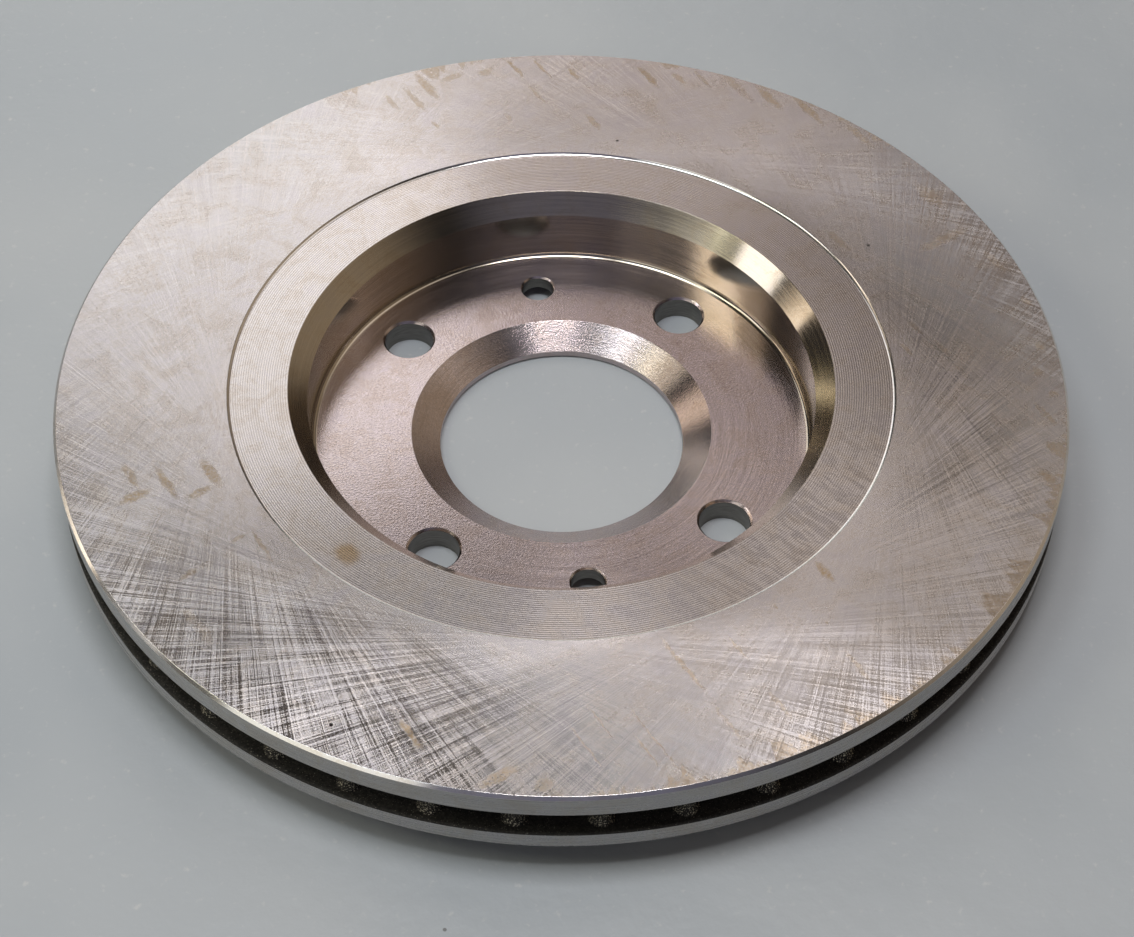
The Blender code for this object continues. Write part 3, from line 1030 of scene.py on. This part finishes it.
# %% Model the hat wall
def hat():
    """The wall of the hat, with the fillet at its floor."""
    foot_r = HAT_OUTER_R - HAT_DRAFT
    fillet = arc_corners(FLOOR_R, FLANGE_Z + FLOOR_FILLET, FLOOR_FILLET, -90, 0, steps=10)
    corners = fillet + [
        (HAT_BORE_R, MOUTH_Z, 0),
        (HAT_OUTER_R, NECK_FOOT_Z, 0),
        (foot_r, FOOT_CHAMFER, TOOL_NOSE),
        (foot_r - FOOT_CHAMFER, 0.0, TOOL_NOSE),
        (FLOOR_R, 0.0, 0),
    ]
    drum = draw_section("hat", corners)
    divide((HAT_OUTER_R, NECK_FOOT_Z), (foot_r, FOOT_CHAMFER + TOOL_NOSE), cuts=12)
    spin_section()

    def choose(centre, normal):
        outside = math.hypot(centre.x, centre.y) > HAT_OUTER_R - HAT_DRAFT - TOOL_NOSE
        return 1 if outside and centre.z > OUTBOARD_FACE_Z else 0

    finish(drum, (HAT_WITH_PAINTED_SHADE, CAST_SKIN), choose, "turned_hat", "hat_wall")


hat()

# %% [markdown]
# ## The mounting flange
#
# The floor of the hat is clamped between the hub and the wheel. The bore, its cone and the edges
# are in the turned section. The six holes are cut with turned cutters, by an exact Boolean, so
# that each hole gets its chamfer in the same cut. The locating screws sit in countersinks
# on the wheel side.


# %% Cutters for the holes
CUTTER_TURN = math.radians(2.2)  # no facet edge of a cutter lies on an edge of the floor
CUT_PAST = 1.0 * MM  # how far a cutter goes past the iron
BOLT_ANGLES = (45, 135, 225, 315)
SCREW_ANGLES = (90, 270)


def hole_cutter(name, corners, angle):
    """A turned cutter, moved out to the bolt circle at an angle in degrees."""
    cutter = draw_section(name, corners)
    spin_section(HOLE_STEPS)
    turn = math.radians(angle)
    out = Matrix.Translation((BOLT_CIRCLE_R * math.cos(turn), BOLT_CIRCLE_R * math.sin(turn), 0))
    cutter.data.transform(out @ Matrix.Rotation(CUTTER_TURN, 4, "Z"))
    return cutter


def straight_cut(radius, chamfer, foot):
    """Corners of a hole's cutter, chamfered at the hub seat. The foot is its lower end."""
    top = FLANGE_Z + CUT_PAST
    return foot + [
        (radius, FLANGE_Z - chamfer, TOOL_NOSE),
        (radius + chamfer + CUT_PAST, top, 0),
        (0.0, top, 0),
    ]


def flange_cutters():
    """Four bolt holes and two countersunk screw holes."""
    foot = (0.0, -CUT_PAST, 0)
    bolt = straight_cut(BOLT_R, BOLT_CHAMFER, [foot, (BOLT_R, -CUT_PAST, 0)])
    sink = [foot, (SINK_R + CUT_PAST, -CUT_PAST, 0), (SCREW_R, SINK_R - SCREW_R, 0)]
    screw = straight_cut(SCREW_R, SCREW_CHAMFER, sink)
    cutters = [hole_cutter(f"bolt_cutter_{angle}", bolt, angle) for angle in BOLT_ANGLES]
    return cutters + [hole_cutter(f"screw_cutter_{angle}", screw, angle) for angle in SCREW_ANGLES]


# %% Model the flange
def flange():
    """The floor of the hat, with its bore and six holes."""
    corners = [
        (BORE_R + BORE_CHAMFER, 0.0, 0),
        (BORE_R, BORE_CHAMFER, 0),
        (BORE_R, BORE_LENGTH, TOOL_NOSE),
        (BORE_R + CONE_WIDTH, FLANGE_Z, TOOL_NOSE),
        (FLOOR_R, FLANGE_Z, 0),
        (FLOOR_R, 0.0, 0),
    ]
    disc = draw_section("flange", corners)
    spin_section()
    cutters = flange_cutters()
    for cutter in cutters:
        hole = disc.modifiers.new(cutter.name, "BOOLEAN")
        hole.operation = "DIFFERENCE"
        hole.solver = "EXACT"
        hole.object = cutter
    apply_modifiers(disc)
    for cutter in cutters:
        bpy.data.objects.remove(cutter)

    def choose(centre, normal):
        out = math.hypot(centre.x, centre.y)
        drilled = abs(out - BOLT_CIRCLE_R) < BOLT_R + TOOL_NOSE and abs(normal.z) < 0.5
        return 1 if drilled else 0

    finish(disc, (TURNED_FLANGE, DRILLED), choose, "turned_flange", "mounting_flange")


flange()

# %% [markdown]
# ## Forty vanes
#
# Each vane is a cast rib with round ends. It is widest where it runs into the plates,
# so its section is waisted. One is modelled along +X from a circle: half of the circle is pulled
# out to the other end, the outline is filled and then extruded upwards, and at each step it is
# scaled, which makes the flared roots. The copies get their own mesh, and each takes its
# roughness after it is turned to its place, so no two are alike.

# %% Model one vane
VANE_INSET = 1.5 * MM
VANE_WAIST = 2.3 * MM  # half width
ROOT_FLARE = 1.1 * MM
ROOT_HEIGHT = 1.6 * MM
SUNK = 0.35 * MM  # how far a root goes into the plate
VANE_STEPS = 24
VANE_CUTS = 24
LONG_EDGE = 20.0 * MM
VANE_GRAIN = 1.5 * MM
CAST_SMOOTH_BELOW = math.radians(60)


def vane_levels():
    """Heights of the vane's outlines, with how far each stands out from the waist."""
    low, high = OUTBOARD_BACK_Z, INBOARD_BACK_Z
    levels = [(low - SUNK, ROOT_FLARE)]
    for degrees in (0, 25, 50, 90):
        rise = ROOT_HEIGHT * math.sin(math.radians(degrees))
        levels.append((low + rise, ROOT_FLARE * (1 - math.sin(math.radians(degrees)))))
    middle = (low + high) / 2
    levels.append((middle - 0.7 * MM, 0.0))
    return levels + [(2 * middle - height, flare) for height, flare in reversed(levels)]


def model_vane():
    """One vane along +X."""
    inner = HAT_OUTER_R + INLET_WIDTH + VANE_INSET
    outer = DISC_R - VANE_INSET
    levels = vane_levels()
    half = VANE_WAIST + levels[0][1]
    deselect_all()
    bpy.ops.mesh.primitive_circle_add(
        vertices=VANE_STEPS, radius=half, fill_type="NOTHING", location=(0, 0, 0)
    )
    vane = bpy.context.object
    vane.name = vane.data.name = "vane"
    bpy.ops.object.mode_set(mode="EDIT")
    bpy.ops.mesh.select_all(action="SELECT")
    bpy.ops.transform.translate(value=(inner + half, 0, levels[0][0]))
    pick_vertices(lambda co: co.x > inner + half + MERGE)
    bpy.ops.transform.translate(value=(outer - inner - 2 * half, 0, 0))
    pick_vertices(lambda co: True)
    bpy.ops.mesh.edge_face_add()
    cage = bmesh.from_edit_mesh(vane.data)
    long_sides = [edge for edge in cage.edges if edge.calc_length() > LONG_EDGE]
    bmesh.ops.subdivide_edges(cage, edges=long_sides, cuts=VANE_CUTS)
    bmesh.update_edit_mesh(vane.data)
    middle = (inner + outer) / 2
    for (z0, flare0), (z1, flare1) in zip(levels, levels[1:]):
        top = z0
        pick_vertices(lambda co: abs(co.z - top) < MERGE)
        bpy.ops.mesh.extrude_region_move(TRANSFORM_OT_translate={"value": (0, 0, z1 - z0)})
        length = (outer - inner) / 2 + flare0 - levels[0][1]
        wide = VANE_WAIST + flare0
        change = flare1 - flare0
        bpy.ops.transform.resize(
            value=(1 + change / length, 1 + change / wide, 1), center_override=(middle, 0, z1)
        )
    leave_solid()
    return vane


# %% Copy it round the disc
def vanes():
    """Turns a copy of the vane to the place of each vane of the frame."""
    pattern = model_vane()
    for index in range(VANE_COUNT):
        node = f"vane_{index + 1:02d}"
        low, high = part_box(node)
        middle = (low + high) / 2
        mesh = pattern.data.copy()
        mesh.transform(Matrix.Rotation(math.atan2(middle.y, middle.x), 4, "Z"))
        vane = add_object(f"cast_{node}", mesh)
        roughen(vane, lambda co: True, MOULD_DEPTH, VANE_GRAIN)
        paint(vane, (CAST_VANES,), lambda centre, normal: 0)
        select_only(vane)
        bpy.ops.object.shade_smooth_by_angle(angle=CAST_SMOOTH_BELOW)
        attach(vane, "root")
        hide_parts(node)
    bpy.data.objects.remove(pattern)
    print(VANE_COUNT, "vanes")


vanes()

# %% [markdown]
# ## Floor, light and camera
#
# The disc lies on a pale floor in a workshop, and metal shows little but what is around it. So a
# soft lamp stands for each bright place of the room: the ceiling light, whose reflection opens
# into the fans on the ground faces, the skylight and the windows on the left, and a window and an
# open door behind. The world is nearly dark, a little warmer on the right.


# %% The floor
def floor_paint():
    """Pale grey paint, faintly mottled and uneven, with a little dust on it."""
    material, tree, shader = new_material("pale floor paint")
    place = millimetres(tree)
    clouds = noise(tree, place, 0.008, 3.0)
    specks = noise(tree, place, 0.35, 3.0, 0.6)
    colour = blend(tree, step(tree, clouds, 0.3, 0.7), (0.340, 0.360, 0.378), (0.385, 0.398, 0.408))
    colour = blend(tree, step(tree, specks, 0.60, 0.8), colour, (0.44, 0.445, 0.44))
    cells = tree.nodes.new("ShaderNodeTexVoronoi")
    wire(tree, cells.inputs["Vector"], place)
    cells.inputs["Scale"].default_value = 0.045
    size, tone, _ = split(tree, cells.outputs["Color"])
    edge = step(tree, size, 0.4, 1.0, 0.002, 0.028)
    dust = step(tree, cells.outputs["Distance"], edge, times(tree, edge, 0.6))
    dust_colour = blend(tree, step(tree, tone, 0.45, 0.55), (0.09, 0.085, 0.08), (0.62, 0.62, 0.60))
    colour = blend(tree, times(tree, dust, 0.8), colour, dust_colour)
    roughness = step(tree, clouds, 0.3, 0.7, 0.36, 0.46)
    waves = bump(tree, noise(tree, place, 0.09, 4.0, 0.55), 0.30 * MM)
    peel = noise(tree, place, 0.30)
    look(tree, shader, colour, roughness, 0.0, bump(tree, peel, 0.07 * MM, under=waves))
    return material


def floor():
    """A plane that the disc stands on, larger than any view needs."""
    deselect_all()
    bpy.ops.mesh.primitive_plane_add(size=6.0, location=(0, 0, 0))
    plane = bpy.context.object
    plane.name = "floor"
    plane.data.materials.append(floor_paint())


floor()
print("the floor is in place")

# %% Lamps and world
CAMERA_AZIMUTH = 262.7  # degrees, seen from above, from +X towards +Y


def direction(azimuth, elevation):
    """A unit vector from two angles in degrees."""
    turn, rise = math.radians(azimuth), math.radians(elevation)
    return Vector((math.cos(turn) * math.cos(rise), math.sin(turn) * math.cos(rise), math.sin(rise)))


def lamp(name, azimuth, elevation, width, height, radiance, colour, distance=1.6):
    """A soft lamp that faces the disc. Width and height are angles in degrees, as the disc sees it."""
    light = bpy.data.lights.new(name, "AREA")
    light.shape = "RECTANGLE"
    light.size = 2 * distance * math.tan(math.radians(width) / 2)
    light.size_y = 2 * distance * math.tan(math.radians(height) / 2)
    light.energy = radiance * math.pi * light.size * light.size_y
    light.color = colour
    panel = add_object(name, light)
    away = direction(azimuth, elevation)
    panel.location = away * distance
    panel.rotation_euler = away.to_track_quat("Z", "Y").to_euler()


lamp("ceiling light", 352.7, 88, 16, 16, 18.0, (0.97, 0.97, 1.0))
lamp("skylight", 172.7, 72, 16, 16, 8.6, (0.89, 0.96, 1.0))
lamp("upper window", 184.7, 44, 16, 15, 5.0, (0.99, 1.0, 0.81))
lamp("upper window, edge", 164.7, 44, 16, 15, 1.05, (1.0, 0.92, 0.70))
lamp("window", 174.7, 28, 16, 15, 3.0, (1.0, 0.99, 0.97))
lamp("low window", 157.7, 12, 16, 15, 2.5, (1.0, 0.89, 0.74))
lamp("wall behind", 137.7, 30, 17, 14, 1.3, (1.0, 0.84, 0.65))
lamp("back window", 98.7, 37, 17, 28, 1.65, (0.99, 1.0, 1.0))
lamp("back window, edge", 80.7, 37, 17, 28, 0.62, (1.0, 0.86, 0.80))
lamp("back door", 87.7, 14, 37, 14, 1.2, (0.90, 1.0, 0.96))
lamp("high wall", 37.7, 63, 34, 26, 0.8, (1.0, 0.94, 0.90))
lamp("front left", 217.7, 25, 34, 26, 1.15, (1.0, 1.0, 0.92))


def world_light():
    """Dim light all round: nearly dark, warm on the right, a little blue at the camera."""
    world = bpy.data.worlds.new("room")
    world.use_nodes = True
    tree = world.node_tree
    way = tree.nodes.new("ShaderNodeTexCoord").outputs["Generated"]
    right = vector(tree, "DOT_PRODUCT", way, tuple(direction(15, 25)))
    colour = blend(tree, step(tree, right, 0.6, 1.0), (0.03, 0.028, 0.028), (0.38, 0.31, 0.23))
    front = vector(tree, "DOT_PRODUCT", way, tuple(direction(CAMERA_AZIMUTH, 30)))
    colour = blend(tree, step(tree, front, 0.75, 0.98), colour, (0.16, 0.16, 0.21))
    wire(tree, tree.nodes["Background"].inputs["Color"], colour)
    bpy.context.scene.world = world


world_light()

# %% [markdown]
# The camera stands where the photograph was taken: 614 mm from the middle of the upper face, 46.5
# degrees above it. It looks at a point a little nearer than that middle, which puts the disc
# high in the frame. The lens follows from the size that the disc has there.

# %% The camera
FACE_DISTANCE = 614.2 * MM
CAMERA_ELEVATION = 46.47
AIM_NEARER = 33.4 * MM
AIM_RIGHT = 1.4 * MM
LENS = 73.76
ROLL = 0.004  # radians


def photograph_camera():
    """The camera of the main picture."""
    data = bpy.data.cameras.new("camera")
    data.lens = LENS
    data.sensor_width = 36.0
    data.clip_start = 0.01
    camera = add_object("camera", data)
    centre = Vector((0, 0, FACE_Z))
    eye = centre + direction(CAMERA_AZIMUTH, CAMERA_ELEVATION) * FACE_DISTANCE
    nearer = direction(CAMERA_AZIMUTH, 0)
    right = Vector((-nearer.y, nearer.x, 0))
    aim = centre + nearer * AIM_NEARER + right * AIM_RIGHT
    camera.location = eye
    turned = (eye - aim).to_track_quat("Z", "Y").to_matrix() @ Matrix.Rotation(ROLL, 3, "Z")
    camera.rotation_euler = turned.to_euler()
    bpy.context.scene.camera = camera


photograph_camera()
bpy.context.scene.view_settings.view_transform = "Standard"
print("the camera is set")

# %% Leave nothing selected and update the scene
deselect_all()
bpy.context.view_layer.update()
